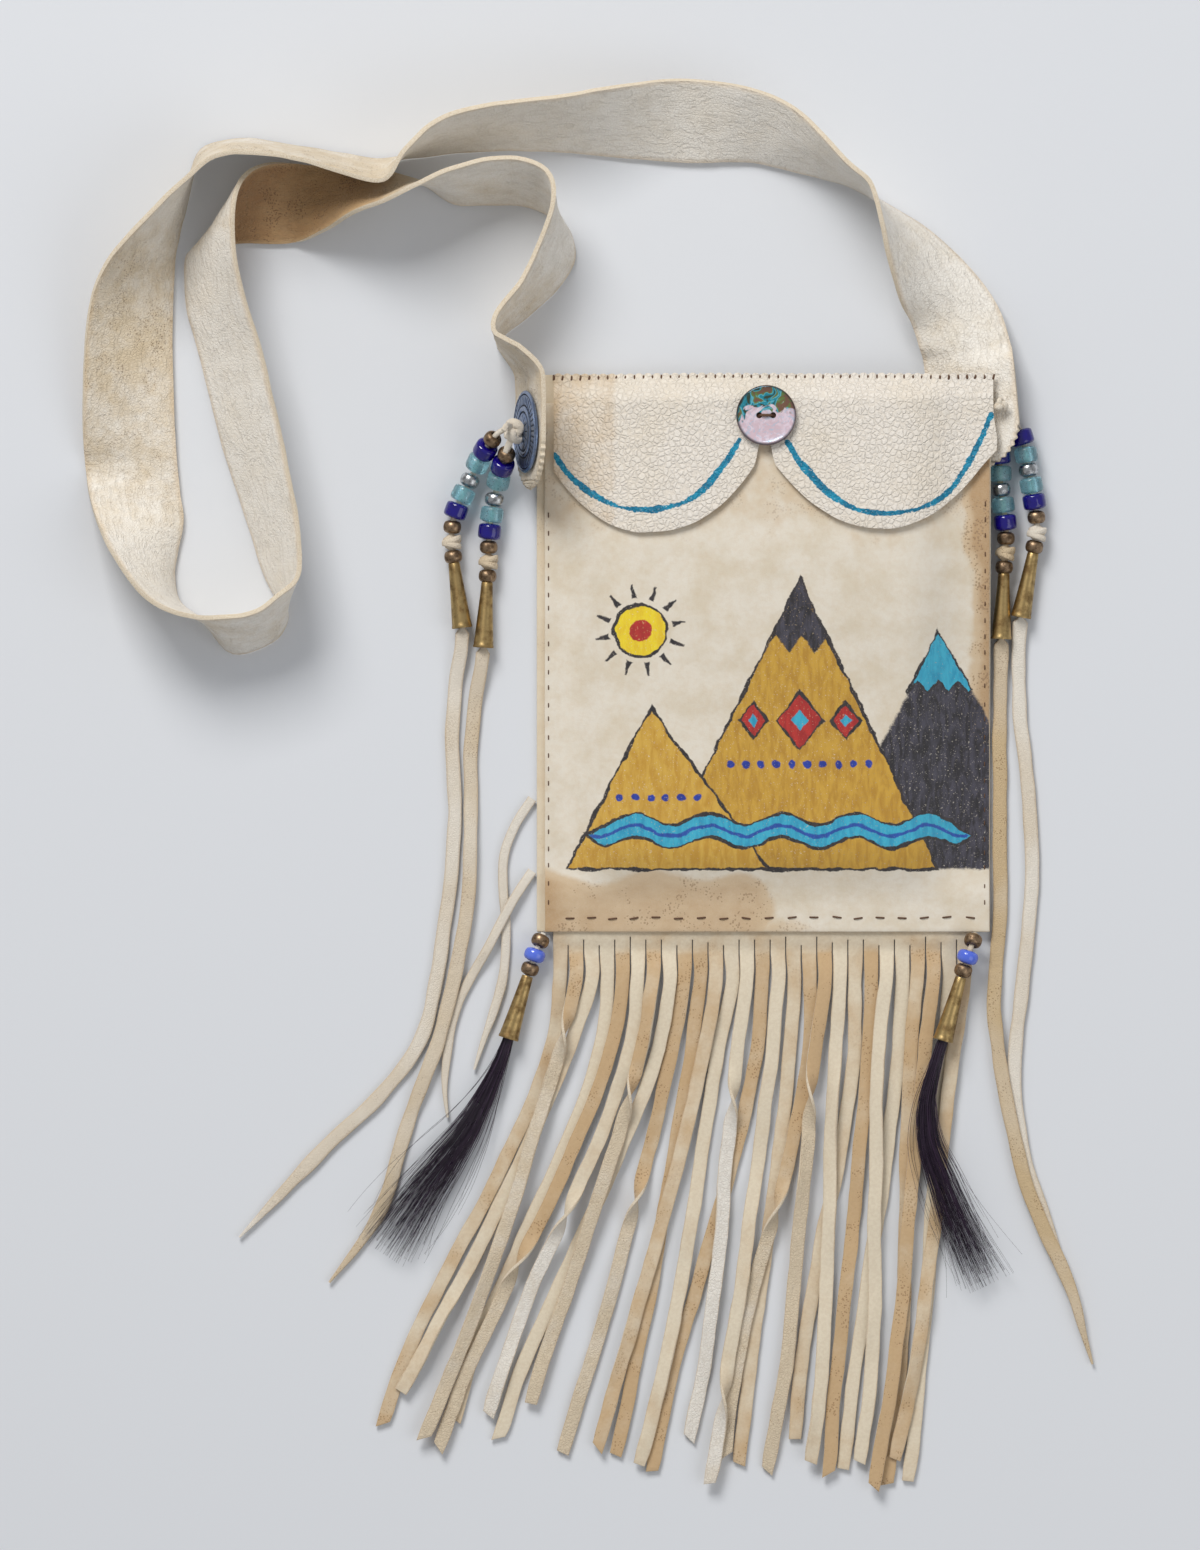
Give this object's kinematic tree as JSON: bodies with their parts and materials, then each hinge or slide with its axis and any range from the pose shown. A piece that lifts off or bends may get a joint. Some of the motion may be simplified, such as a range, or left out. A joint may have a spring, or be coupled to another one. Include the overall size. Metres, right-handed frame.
{
  "type": "shoulder bag",
  "caption": "Fringed leather shoulder bag with a scalloped buttoned flap, wide strap, beaded lace danglers and hair tassels, lying on its back.",
  "frame": {"origin": "on the flat underside of the back panel, on the bag's centre line, 51.5 mm above its bottom edge", "axes": "+X to the bag's right seen from the front, +Y from the bottom towards the strap, +Z out of the front"},
  "size_m": [0.3945, 0.5494, 0.0376],
  "materials": {
    "cream_leather": "creamy suede",
    "white_leather": "pebbled white grain",
    "tan_suede": "smoked tan suede",
    "pale_lace": "soft pale suede",
    "bronze_bead": "dark bronze",
    "silver_bead": "worn silver",
    "navy_glass": "dark blue glass",
    "aqua_glass": "pale aqua glass",
    "periwinkle_bead": "glossy opaque blue",
    "aged_brass": "aged brass",
    "black_hair": "loose black hair",
    "concho_nickel": "tarnished nickel",
    "shell": "polished iridescent shell"
  },
  "bodies": {
    "bag": {"back_panel": "cream_leather", "front_panel": "cream_leather", "strap": "white_leather", "fringe": "tan_suede", "concho_left": "concho_nickel", "concho_right": "concho_nickel", "tie_left": "pale_lace", "tie_right": "pale_lace", "edge_knot": "pale_lace", "thin_lace_upper": "pale_lace", "thin_lace_lower": "pale_lace", "lace_left_outer": "pale_lace", "bead_left_outer_1_bronze": "bronze_bead", "bead_left_outer_2_navy": "navy_glass", "bead_left_outer_3_aqua": "aqua_glass", "bead_left_outer_4_silver": "silver_bead", "bead_left_outer_5_aqua": "aqua_glass", "bead_left_outer_6_navy": "navy_glass", "bead_left_outer_7_bronze": "bronze_bead", "cone_left_outer": "aged_brass", "lace_left_inner": "pale_lace", "bead_left_inner_1_bronze": "bronze_bead", "bead_left_inner_2_navy": "navy_glass", "bead_left_inner_3_aqua": "aqua_glass", "bead_left_inner_4_silver": "silver_bead", "bead_left_inner_5_aqua": "aqua_glass", "bead_left_inner_6_navy": "navy_glass", "bead_left_inner_7_bronze": "bronze_bead", "cone_left_inner": "aged_brass", "lace_right_outer": "pale_lace", "bead_right_outer_1_bronze": "bronze_bead", "bead_right_outer_2_navy": "navy_glass", "bead_right_outer_3_aqua": "aqua_glass", "bead_right_outer_4_silver": "silver_bead", "bead_right_outer_5_aqua": "aqua_glass", "bead_right_outer_6_navy": "navy_glass", "bead_right_outer_7_bronze": "bronze_bead", "cone_right_outer": "aged_brass", "lace_right_inner": "pale_lace", "bead_right_inner_1_bronze": "bronze_bead", "bead_right_inner_2_navy": "navy_glass", "bead_right_inner_3_aqua": "aqua_glass", "bead_right_inner_4_silver": "silver_bead", "bead_right_inner_5_aqua": "aqua_glass", "bead_right_inner_6_navy": "navy_glass", "bead_right_inner_7_bronze": "bronze_bead", "cone_right_inner": "aged_brass", "hair_corner_left": "black_hair", "bead_corner_left_1_bronze": "bronze_bead", "bead_corner_left_2_periwinkle": "periwinkle_bead", "bead_corner_left_3_bronze": "bronze_bead", "cone_corner_left": "aged_brass", "hair_corner_right": "black_hair", "bead_corner_right_1_bronze": "bronze_bead", "bead_corner_right_2_periwinkle": "periwinkle_bead", "bead_corner_right_3_bronze": "bronze_bead", "cone_corner_right": "aged_brass"},
    "flap": {"flap": "white_leather", "button": "shell", "button_thong": "tan_suede"}
  },
  "joints": [
    {"name": "flap_hinge", "type": "hinge", "parent": "bag", "child": "flap", "pos_m": [0, 0.166, 0.00835], "axis": [-0.9977, 0, -0.0676], "range_deg": [0, 120]}
  ]
}
